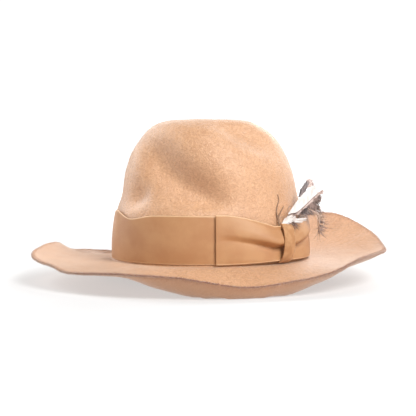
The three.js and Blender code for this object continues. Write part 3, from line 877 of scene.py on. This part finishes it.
def end_tree(graph, given, points, instance, rotation, scale):
    """One instance at each point, made real and given the material."""
    sockets = {"Points": points, "Instance": instance, "Rotation": rotation, "Scale": scale}
    placed = graph.add("GeometryNodeInstanceOnPoints", None, sockets)
    real = graph.add("GeometryNodeRealizeInstances", None, {0: placed[0]})
    dressed = graph.add("GeometryNodeSetMaterial", None, {"Geometry": real[0], "Material": given["Material"]})
    graph.add("NodeGroupOutput", None, {0: dressed[0]})


def scatter_tree():
    """Loose fibres standing on a surface: short bent threads at random points of its faces."""
    sizes = {"Density": "Float", "Length": "Float", "Thickness": "Float"}
    tree, graph, given = mesh_tree("loose_fibres", **sizes, Seed="Int")
    sockets = {"Mesh": given["Geometry"], "Density": given["Density"], "Seed": given["Seed"]}
    points = graph.add("GeometryNodeDistributePointsOnFaces", None, sockets)
    bend = {"Resolution": 3, "Start": (0, 0, 0), "Middle": (0.1, 0.05, 0.55), "End": (0.55, 0.1, 0.8)}
    thread = graph.add("GeometryNodeCurveQuadraticBezier", None, bend)
    radius = given["Thickness"] / given["Length"]
    section = graph.add("GeometryNodeCurvePrimitiveCircle", None, {"Resolution": 3, "Radius": radius})
    sockets = {"Curve": thread[0], "Profile Curve": section[0], "Fill Caps": True}
    fibre = graph.add("GeometryNodeCurveToMesh", None, sockets)
    lean = {0: (-0.7, -0.7, -3.14), 1: (0.7, 0.7, 3.14), "Seed": given["Seed"]}
    tilt = graph.add("FunctionNodeRandomValue", {"data_type": "FLOAT_VECTOR"}, lean)
    tilted = graph.add("FunctionNodeEulerToRotation", None, {0: tilt[0]})
    sockets = {0: points["Rotation"], 1: tilted[0]}
    turned = graph.add("FunctionNodeRotateRotation", {"rotation_space": "LOCAL"}, sockets)
    spread = {2: 0.5, 3: 1.3, "Seed": given["Seed"] + 5}
    size = graph.add("FunctionNodeRandomValue", None, spread)[1] * given["Length"]
    scale = graph.add("ShaderNodeCombineXYZ", None, {0: size, 1: size, 2: size})
    end_tree(graph, given, points["Points"], fibre[0], turned[0], scale[0])
    return tree


def barb_tree():
    """A flat tapering barb at each point, turned to the point's own toward and face directions."""
    tree, graph, given = mesh_tree("barbs", Width="Float", Point="Float", Curl="Float", Seed="Int")

    def own(name, kind):
        return graph.add("GeometryNodeInputNamedAttribute", {"data_type": kind}, {"Name": name})[0]

    points = graph.add("GeometryNodeMeshToPoints", None, {"Mesh": given["Geometry"]})
    taper = {"Radius Top": given["Point"], "Radius Bottom": 1.0, "Depth": 1.0}
    cone = graph.add("GeometryNodeMeshCone", None, {"Vertices": 4, "Side Segments": 5, **taper})
    place = graph.add("ShaderNodeSeparateXYZ", None, {0: graph.add("GeometryNodeInputPosition")[0]})
    flattened = place["Y"] * 0.008 + place["Z"] * place["Z"] * given["Curl"]
    shaped = graph.add("ShaderNodeCombineXYZ", None, {0: place["X"], 1: flattened, 2: place["Z"]})
    barb = graph.add("GeometryNodeSetPosition", None, {"Geometry": cone["Mesh"], "Position": shaped[0]})
    toward = {"Vector": own("toward", "FLOAT_VECTOR")}
    aimed = graph.add("FunctionNodeAlignRotationToVector", {"axis": "Z"}, toward)
    face = {"Rotation": aimed[0], "Vector": own("face", "FLOAT_VECTOR")}
    faced = graph.add("FunctionNodeAlignRotationToVector", {"axis": "Y", "pivot_axis": "Z"}, face)
    wide = graph.add("FunctionNodeRandomValue", None, {2: 0.75, 3: 1.2, "Seed": given["Seed"]})
    long = own("barb_length", "FLOAT")
    size = graph.add("ShaderNodeCombineXYZ", None, {0: wide[1] * given["Width"] * 0.5, 1: long, 2: long})
    end_tree(graph, given, points[0], barb[0], faced[0], size[0])
    return tree


def grown(carrier, tree, name, slot, **inputs):
    """A piece with the plain mesh that a node tree makes on a carrier, whose modifier is then removed."""
    modifier = carrier.modifiers.new(name, "NODES")
    modifier.node_group = tree
    for item in tree.interface.items_tree:
        if item.in_out == "INPUT" and item.name in inputs:
            modifier[item.identifier] = inputs[item.name]
    bpy.context.view_layer.update()
    evaluated = carrier.evaluated_get(bpy.context.evaluated_depsgraph_get())
    mesh = bpy.data.meshes.new_from_object(evaluated)
    carrier.modifiers.remove(modifier)
    mesh.name = name
    piece = bpy.data.objects.new(name, mesh)
    bpy.context.scene.collection.objects.link(piece)
    return piece


# The pieces.


def felt_relief(points, height):
    """Heights of the felt's soft unevenness at points."""
    flat = points.reshape(-1, 3)
    lumps = [sum(share * noise.noise(Vector(p) * scale) for scale, share in FELT_LUMPS) for p in flat]
    return np.array(lumps).reshape(points.shape[:-1]) * height


def level(angles):
    """Points of a circle, to read a noise at."""
    return np.stack([np.cos(angles), np.sin(angles)], axis=1)


def felt_outside(block, angles):
    """Rows of points on the top side, from the middle to the cut edge, and which are the foot turn."""
    foot_place = float(block.place_at(block.felt.foot_radius))
    crown_places = np.linspace(block.top_place, foot_place, CROWN_ROWS)
    crown = block.pressed(block.blocked(angles[None], crown_places[:, None]))
    turns = np.linspace(0, math.pi / 2, FOOT_ROWS)[1:]
    foot = np.stack([block.foot(angles, np.full_like(angles, t)) for t in turns])
    reaches = np.linspace(0, 1, BRIM_ROWS)[1:]
    ring = level(angles)
    ragged = np.array(
        [noise.noise(Vector((*r * 9, 0.3))) + 0.6 * noise.noise(Vector((*r * 45, 1.3))) for r in ring]
    )
    brim = np.stack([block.brim(angles, reach * (1 + EDGE_WAVER * ragged * reach**6)) for reach in reaches])
    outer = np.concatenate([crown, foot, brim])
    foot_rows = range(len(crown), len(crown) + len(foot))
    band_top = block.ribbon.band_foot + block.ribbon.band_width
    on_crown = (np.arange(len(outer)) < foot_rows.stop)[:, None]
    # The unevenness dies away under the band, and at the middle of the top, where the columns meet.
    calm = 1 - 0.9 * smooth(outer[..., 2], band_top + 0.006, band_top - 0.001) * on_crown
    pole = smooth(np.linalg.norm(outer[..., :2], axis=-1), 0.002, 0.02)
    relief = felt_relief(outer, block.felt.lumps) * calm * pole
    return outer + normals(outer, True) * relief[..., None], foot_rows


def cut_edge(outer, inner, angles, thick):
    """Rows of points round the cut edge, from the top side to the underside."""
    middle = (outer[-1] + inner[-1]) / 2
    proud = unit(outer[-1] - outer[-2])
    rows = []
    for turn in np.linspace(0, math.pi, EDGE_ROWS)[1:-1]:
        pills = np.array([noise.noise(Vector((*r * 70, turn * 2))) for r in level(angles)])
        bulge = thick * (EDGE_BULGE * math.sin(turn) + EDGE_PILLS * pills * math.sin(turn))
        rows.append(middle + proud * bulge[:, None] + (outer[-1] - middle) * math.cos(turn))
    return np.stack(rows)


def felt_body(block):
    """The crown and brim as one closed piece, marked at its rim and underside, and its cut edge alone."""
    columns = FELT_COLUMNS
    angles = np.arange(columns) / columns * math.tau
    outer, foot_rows = felt_outside(block, angles)
    facing = normals(outer, True)
    facing[0] = (0, 0, 1)
    inner = outer - facing * block.felt.felt
    inner[..., 2] = np.maximum(inner[..., 2], -block.felt.brim_drop)
    rounding = cut_edge(outer, inner, angles, block.felt.felt)
    # The inner face keeps every third row, and every row of the foot turn and near the edge.
    kept = [i for i in range(1, len(outer)) if i % 3 == 0 or i in foot_rows or i > len(outer) - 4]
    rows = np.concatenate([outer[1:], rounding, inner[kept][::-1]])
    from_rim = np.concatenate(
        [len(outer) - np.arange(1, len(outer)), np.zeros(len(rounding)), len(outer) - np.array(kept[::-1])]
    )
    rim = np.clip(1 - from_rim / 1.4, 0, 1)
    under = np.concatenate([np.zeros(len(outer) - 1), np.linspace(0, 1, len(rounding)), np.ones(len(kept))])
    top, bottom = outer[0].mean(0), inner[0].mean(0)
    points = np.concatenate([rows.reshape(-1, 3), top[None], bottom[None]]) + block.shift
    points[:, 2] = np.maximum(points[:, 2], 0)
    count = len(rows) * columns
    faces = [tuple(f) for f in quads(len(rows), columns, True)]
    last = count - columns
    for j in range(columns):
        right = (j + 1) % columns
        faces.append((count, j, right))
        faces.append((count + 1, last + right, last + j))
    piece = mesh_object("felt_body_looks", points, faces)
    for name, values, poles in (("rim", rim, (0, 0)), ("under", under, (0, 1))):
        spread = np.concatenate([np.repeat(values, columns), poles])
        piece.data.attributes.new(name, "FLOAT", "POINT").data.foreach_set("value", spread)
    edge_rows = rows[len(outer) - 3 : len(outer) + len(rounding) + 1]
    edge_faces = quads(len(edge_rows), columns, True)
    edge = mesh_object("cut_edge", edge_rows.reshape(-1, 3) + block.shift, edge_faces)
    return piece, edge


def make_felt(scene):
    felt = scene.hat_felt
    piece, edge = felt_body(Block(scene))
    made = felt_material(scene.hat_colours)
    piece.data.materials.append(made)
    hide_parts("felt_body")
    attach(piece, "root")
    tree = scatter_tree()
    area = sum(p.area for p in piece.data.polygons)
    sizes = {"Density": felt.fibre_count / area, "Length": felt.fibre_length, "Thickness": felt.fibre_radius}
    fibres = grown(piece, tree, "felt_fibres", "felt", Seed=7, Material=made, **sizes)
    keep_above_floor(fibres)
    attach(fibres, "root")
    sizes = {"Density": NAP_DENSITY, "Length": felt.nap_length, "Thickness": felt.nap_radius}
    nap = grown(edge, tree, "cut_edge_nap", "felt", Seed=9, Material=nap_material(), **sizes)
    bpy.data.objects.remove(edge)
    keep_above_floor(nap)
    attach(nap, "root")


def keep_above_floor(piece):
    for vertex in piece.data.vertices:
        vertex.co.z = max(vertex.co.z, 0.0)


def make_band(scene):
    block = Block(scene)
    ribbon = scene.hat_ribbon
    angles = np.arange(BAND_COLUMNS) / BAND_COLUMNS * math.tau
    down = np.linspace(0, 1, BAND_ROWS)[:, None]

    def face(lift):
        height = ribbon.band_foot + ribbon.band_width * (1 - down) + 0 * angles
        out = lift + 0 * height
        for angle, spread, drop, flare in zip(*BAND_BUCKLES.values()):
            turn = np.angle(np.exp(1j * (angles - math.radians(angle))))
            near = bell(turn / math.radians(spread)) * (1 - down) ** 3
            height = height - ribbon.band_width * drop * near
            out = out + ribbon.ribbon * flare * near
        return block.wall(angles[None], height, out) + block.shift

    outer, inner = face(block.band_outside), face(block.ribbon.clearance)
    around = np.cumsum(np.linalg.norm(np.diff(outer[-1], axis=0, append=outer[-1][:1]), axis=-1))
    uv = stack(around[None], 1 - down)
    piece = strip("ribbon_band_looks", outer, inner, True, uv)
    piece.data.materials.append(ribbon_material(scene.hat_colours, ribbon))
    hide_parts("ribbon_band")
    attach(piece, "root")


def make_bow(scene):
    block = Block(scene)
    ribbon = scene.hat_ribbon
    under_knot = KNOT_LEAN + math.degrees(ribbon.knot_width / 2 / block.half_width)
    wings = (("bow_front_wing", BOW_START, KNOT_AT - 0.3), ("bow_rear_wing", KNOT_AT + 0.3, BOW_END))
    for node, start, end in wings:
        reach = max(abs(start - KNOT_AT), abs(end - KNOT_AT)) - under_knot
        angles = np.linspace(start, end, WING_COLUMNS)[None]
        down = np.linspace(0, 1, WING_ROWS)[:, None]
        beyond = np.maximum(0, np.abs(angles - KNOT_AT) - under_knot)
        gathered = np.maximum(0, 1 - beyond / (GATHER_REACH * reach)) ** GATHER_FADE
        flat_end = np.clip(beyond / reach, 0, 1)
        height = (ribbon.bow_height + (ribbon.bow_waist - ribbon.bow_height) * gathered) * (0.5 - down)
        middle = block.band_middle + (block.knot_middle - block.band_middle) * gathered
        folded = np.maximum(0, 1 - beyond / reach)
        fold = folded * read(BOW_FOLDS, "across", "out", 1 - down + FOLD_SLANT * gathered)
        out = block.bow_inside + gathered * ribbon.bow_stand_off + ribbon.pleat * fold
        out = out + END_LIFT * smooth(flat_end, 0.8, 1.0)

        def face(lift):
            return block.wall(np.radians(angles), middle + height, out + lift) + block.shift

        outer, inner = face(ribbon.bow_thickness), face(0)
        across = np.radians(angles - start) * block.half_width
        piece = strip(node + "_looks", outer, inner, False, stack(across + 0 * down, 1 - down))
        piece.data.materials.append(ribbon_material(scene.hat_colours, ribbon))
        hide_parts(node)
        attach(piece, "root")


def make_knot(scene):
    block = Block(scene)
    ribbon = scene.hat_ribbon
    down = np.linspace(0, 1, KNOT_ROWS)[:, None]
    across = np.linspace(0, 1, KNOT_COLUMNS)[None]
    half = ribbon.bow_waist / 2 + ribbon.knot_overlap
    arch = KNOT_ARCH * ribbon.pleat
    ends = block.bow_inside + ribbon.bow_stand_off
    turned = down * math.pi
    angle = np.radians(KNOT_AT - KNOT_LEAN * (down - 0.5)) + (across - 0.5) * ribbon.knot_width / (
        block.half_width + ends + arch
    )
    inner = block.wall(angle, block.knot_middle + half * np.cos(turned), ends + arch * np.sin(turned))
    outer = inner + normals(inner, False) * ribbon.knot_thickness
    uv = stack(across + 0 * down, 1 - down)
    piece = strip("bow_knot_looks", outer + block.shift, inner + block.shift, False, uv)
    piece.data.materials.append(strap_material(scene.hat_colours))
    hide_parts("bow_knot")
    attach(piece, "root")


def barb_carrier(name, points, toward, face, lengths):
    """Points that carry the directions and lengths of the barbs to grow on them."""
    mesh = bpy.data.meshes.new(name)
    mesh.from_pydata([tuple(p) for p in points], [], [])
    for attribute, kind, values in (
        ("toward", "FLOAT_VECTOR", toward),
        ("face", "FLOAT_VECTOR", face),
        ("barb_length", "FLOAT", lengths),
    ):
        field = "vector" if kind == "FLOAT_VECTOR" else "value"
        data = mesh.attributes.new(attribute, kind, "POINT").data
        data.foreach_set(field, np.asarray(values, float).ravel())
    carrier = bpy.data.objects.new(name, mesh)
    bpy.context.scene.collection.objects.link(carrier)
    return carrier


def along(line, shares):
    """Points at shares of the way along a line of points, on a smooth curve through them."""
    rows = {"at": np.linspace(0, 1, len(line))}
    columns = []
    for axis in range(len(line[0])):
        rows["value"] = np.array([point[axis] for point in line], float)
        columns.append(read(rows, "at", "value", shares))
    return np.stack(columns, axis=-1)


class Feather:
    """A feather's plane where it is tucked in, with the size that its tables are shares of."""

    def __init__(self, block, tuck, size):
        angle, splay = np.array(math.radians(tuck["angle"])), math.radians(tuck["splay"])
        away = block.outwards(angle)
        self.size = size
        self.base = block.wall(angle, np.array(tuck["height"]), np.array(tuck["out"])) + block.shift
        self.up = np.array([0, 0, 1.0])
        self.forward = np.cross(self.up, away) * math.cos(splay) + away * math.sin(splay)
        self.face = np.cross(self.forward, self.up)

    def point(self, spot, lift=0.0):
        spot = np.asarray(spot, float)
        flat = self.forward * spot[..., :1] + self.up * spot[..., 1:2]
        return self.base + flat * self.size + self.face * lift


def feather_finishes(colours):
    return {
        "white_barbs": barb_material("white_barbs", (0.7, 0.65, 0.62), tuple(colours.white_barb), 260),
        "grey_barbs": barb_material("grey_barbs", (0.1, 0.085, 0.09), (0.32, 0.28, 0.28), 420),
        "dark_barbs": barb_material("dark_barbs", tuple(colours.dark_barb), (0.34, 0.24, 0.21), 420),
        "rosy_barbs": barb_material("rosy_barbs", (0.34, 0.23, 0.2), (0.72, 0.6, 0.55), 420),
        "fawn_down": barb_material("fawn_down", (0.36, 0.17, 0.09), (0.85, 0.7, 0.58), 500),
        "horny_quill": quill_material(colours),
    }


def make_vanes(feathers, finishes):
    tree = barb_tree()
    random = np.random.default_rng(11)
    for name, of, finish, count, width, taper, unevenness, lift, roots_line, tips_line in VANES:
        feather = feathers[of]
        shares = np.linspace(0, 1, count)
        waver = random.normal(0, unevenness * 0.5, (count, 2))
        roots = feather.point(along(roots_line, shares) + waver * 0.3, lift)
        tips = feather.point(along(tips_line, shares) + waver, lift)
        tips = tips + feather.face * random.normal(0, 0.1 * unevenness * feather.size * 4, (count, 1))
        lengths = np.linalg.norm(tips - roots, axis=1)
        faces = unit(feather.face + random.normal(0, 0.1 + 4 * unevenness, (count, 3)))
        carrier = barb_carrier(name + "_points", roots, unit(tips - roots), faces, lengths)
        barb = {"Width": width, "Point": taper, "Curl": min(0.3, 0.05 + 1.5 * unevenness)}
        piece = grown(
            carrier, tree, f"feather_{of}_{name}", of + "_feather", Seed=3, Material=finishes[finish], **barb
        )
        bpy.data.objects.remove(carrier)
        if name in ("blade", "lower_vane"):
            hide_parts("feather_" + of)
        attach(piece, "root")


def make_strands(feathers, finishes):
    for number, (of, finish, foot, tip, lift, spots) in enumerate(STRANDS):
        shares = np.linspace(0, 1, 28)
        line = feathers[of].point(along(spots, shares), lift)
        radii = (foot + (tip - foot) * shares) / 2
        piece = joined(f"feather_{of}_strand_{number}", [tube(line, radii)])
        piece.data.materials.append(finishes[finish])
        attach(piece, "root")


def make_twig(block, sizes, finish):
    solids = []
    for line in TWIGS:
        spots = along(line, np.linspace(0, 1, 40))
        # noise_vector would differ from run to run, and noise doesn't.
        wander = [[noise.noise(Vector((s[1] * 40, s[0], 2 + 9 * axis))) for axis in range(3)] for s in spots]
        height = WHITE_TUCK["height"] + spots[:, 1] * sizes.white_length
        out = TWIG_OUT + TWIG_FOOT_OUT * smooth(-spots[:, 1], -0.24, -0.12)
        points = block.wall(np.radians(spots[:, 0]), height, out) + block.shift + TWIG_WANDER * np.array(wander)
        knobbly = 1 + 0.25 * np.sin(np.arange(len(points)) * 1.9)
        radii = sizes.twig / 2 * (1 - 0.55 * np.linspace(0, 1, len(points))) * knobbly
        solids.append(tube(points, radii))
    twig = joined("bare_quill_twig", solids)
    twig.data.materials.append(finish)
    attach(twig, "root")


def make_feathers(scene):
    block, sizes = Block(scene), scene.hat_feathers
    feathers = {
        "white": Feather(block, WHITE_TUCK, sizes.white_length),
        "dark": Feather(block, DARK_TUCK, sizes.dark_length),
    }
    finishes = feather_finishes(scene.hat_colours)
    make_vanes(feathers, finishes)
    make_strands(feathers, finishes)
    make_twig(block, sizes, finishes["horny_quill"])


def make_camera(scene, centre, forward, right):
    eye = centre - forward * VIEW_DISTANCE + np.array([0, 0, VIEW_RISE + scene.hat_felt.brim_drop])
    aim = centre - right * VIEW_LEFT + np.array([0, 0, VIEW_AIM])
    camera_data = bpy.data.cameras.new("camera")
    camera_data.lens = VIEW_LENS
    camera_data.clip_end = 50
    camera = bpy.data.objects.new("camera", camera_data)
    scene.collection.objects.link(camera)
    camera.location = Vector(eye)
    camera.rotation_euler = Vector(aim - eye).to_track_quat("-Z", "Y").to_euler()
    scene.camera = camera


def make_floor():
    """The pale floor that runs up into a backdrop. It glows, dimmer near the hat, as painted light."""
    points = []
    for i in range(FLOOR_RINGS + 1):
        radius = FLOOR_START + FLOOR_REACH * (i / FLOOR_RINGS) ** 1.4
        rise = 0.16 * max(0.0, radius - FLOOR_FLAT) ** 1.6
        for j in range(FLOOR_SIDES):
            turn = j / FLOOR_SIDES * math.tau
            points.append((radius * math.cos(turn), radius * math.sin(turn), rise - 0.0002))
    faces = [tuple(int(v) for v in f) for f in quads(FLOOR_RINGS + 1, FLOOR_SIDES, True)]
    faces.append(tuple(range(FLOOR_SIDES)))
    floor = mesh_object("pale_floor", points, faces)
    made, graph = material("glowing_pale_floor")
    place = graph.place()
    tone = graph.noise(place, 3, 2)
    away = graph.add("ShaderNodeVectorMath", {"operation": "LENGTH"}, {0: place})["Value"]
    # Painted light: the floor glows at half strength near the hat and at full strength far off, so it looks
    # brightly lit while little light bounces up under the brim.
    glow = graph.mix(graph.between(away, 0.25, 1.3), (0.5, 0.5, 0.5), (1.0, 1.0, 1.0))
    graph.finish_surface(
        base_color=graph.mix(tone, (0.34, 0.34, 0.34), (0.36, 0.36, 0.36)),
        roughness=0.9,
        emission_color=glow,
        emission_strength=1.0,
    )
    floor.data.materials.append(made)


def make_lights(scene, centre, forward, right):
    world = bpy.data.worlds.new("soft_white")
    scene.world = world
    world.use_nodes = True
    world.node_tree.nodes["Background"].inputs[0].default_value = (1.0, 0.9, 0.8, 1)
    world.node_tree.nodes["Background"].inputs[1].default_value = 0.13

    for name, (across, away_from_camera, up), distance, size, power in LIGHTS:
        data = bpy.data.lights.new(name, "AREA")
        data.shape = "SQUARE"
        data.size = size
        data.energy = power
        lamp = bpy.data.objects.new(name, data)
        scene.collection.objects.link(lamp)
        direction = across * right + away_from_camera * forward + np.array([0, 0, up])
        place = centre + np.array([0, 0, 0.06]) + unit(direction) * distance
        lamp.location = Vector(place)
        lamp.rotation_euler = (Vector(centre) - Vector(place)).to_track_quat("-Z", "Y").to_euler()


def make_stage(scene):
    """The floor, the lights and the camera, all placed round the middle of the hat."""
    angle = math.radians(VIEW_TURN)
    forward = np.array([-math.sin(angle), math.cos(angle), 0])
    right = np.array([math.cos(angle), math.sin(angle), 0])
    shift = Block(scene).shift
    centre = np.array([shift[0], shift[1], 0])
    make_camera(scene, centre, forward, right)
    make_floor()
    make_lights(scene, centre, forward, right)
    scene.view_settings.view_transform = "Standard"
    scene.view_settings.look = "None"


# Operators, one for each piece or group of like pieces.


class HAT_OT_felt(bpy.types.Operator):
    """Build the crown and brim with their loose fibres"""

    bl_idname = "hat.make_felt"
    bl_label = "Felt body"

    def execute(self, context):
        make_felt(context.scene)
        return {"FINISHED"}


class HAT_OT_band(bpy.types.Operator):
    """Build the ribbon band"""

    bl_idname = "hat.make_band"
    bl_label = "Ribbon band"

    def execute(self, context):
        make_band(context.scene)
        return {"FINISHED"}


class HAT_OT_bow(bpy.types.Operator):
    """Build the two wings of the bow"""

    bl_idname = "hat.make_bow"
    bl_label = "Bow"

    def execute(self, context):
        make_bow(context.scene)
        return {"FINISHED"}


class HAT_OT_knot(bpy.types.Operator):
    """Build the knot over the bow"""

    bl_idname = "hat.make_knot"
    bl_label = "Knot"

    def execute(self, context):
        make_knot(context.scene)
        return {"FINISHED"}


class HAT_OT_feathers(bpy.types.Operator):
    """Build the white feather and the dark one behind it"""

    bl_idname = "hat.make_feathers"
    bl_label = "Feathers"

    def execute(self, context):
        make_feathers(context.scene)
        return {"FINISHED"}


class HAT_OT_stage(bpy.types.Operator):
    """Build the floor, the lights and the camera"""

    bl_idname = "hat.make_stage"
    bl_label = "Stage"

    def execute(self, context):
        make_stage(context.scene)
        return {"FINISHED"}


OPERATORS = (HAT_OT_felt, HAT_OT_band, HAT_OT_bow, HAT_OT_knot, HAT_OT_feathers, HAT_OT_stage)


class HAT_PT_panel(bpy.types.Panel):
    """The hat's operators, sizes and colours"""

    bl_label = "Felt Fedora"
    bl_idname = "HAT_PT_panel"
    bl_space_type = "VIEW_3D"
    bl_region_type = "UI"
    bl_category = "Hat"

    def draw(self, context):
        for operator in OPERATORS:
            self.layout.operator(operator.bl_idname)
        for group in GROUPS:
            box = self.layout.box()
            box.label(text=GROUPS[group].__doc__)
            settings = getattr(context.scene, group)
            for name in settings.__annotations__:
                box.prop(settings, name)


GROUPS = {
    "hat_felt": HatFeltSizes,
    "hat_ribbon": HatRibbonSizes,
    "hat_feathers": HatFeatherSizes,
    "hat_colours": HatColours,
}


def register():
    for kind in (*GROUPS.values(), *OPERATORS, HAT_PT_panel):
        bpy.utils.register_class(kind)
    for name, kind in GROUPS.items():
        setattr(bpy.types.Scene, name, PointerProperty(type=kind))


def unregister():
    for name in GROUPS:
        delattr(bpy.types.Scene, name)
    for kind in reversed((*GROUPS.values(), *OPERATORS, HAT_PT_panel)):
        bpy.utils.unregister_class(kind)


def main():
    register()
    bpy.ops.hat.make_felt()
    bpy.ops.hat.make_band()
    bpy.ops.hat.make_bow()
    bpy.ops.hat.make_knot()
    bpy.ops.hat.make_feathers()
    bpy.ops.hat.make_stage()


if __name__ == "__main__":
    main()
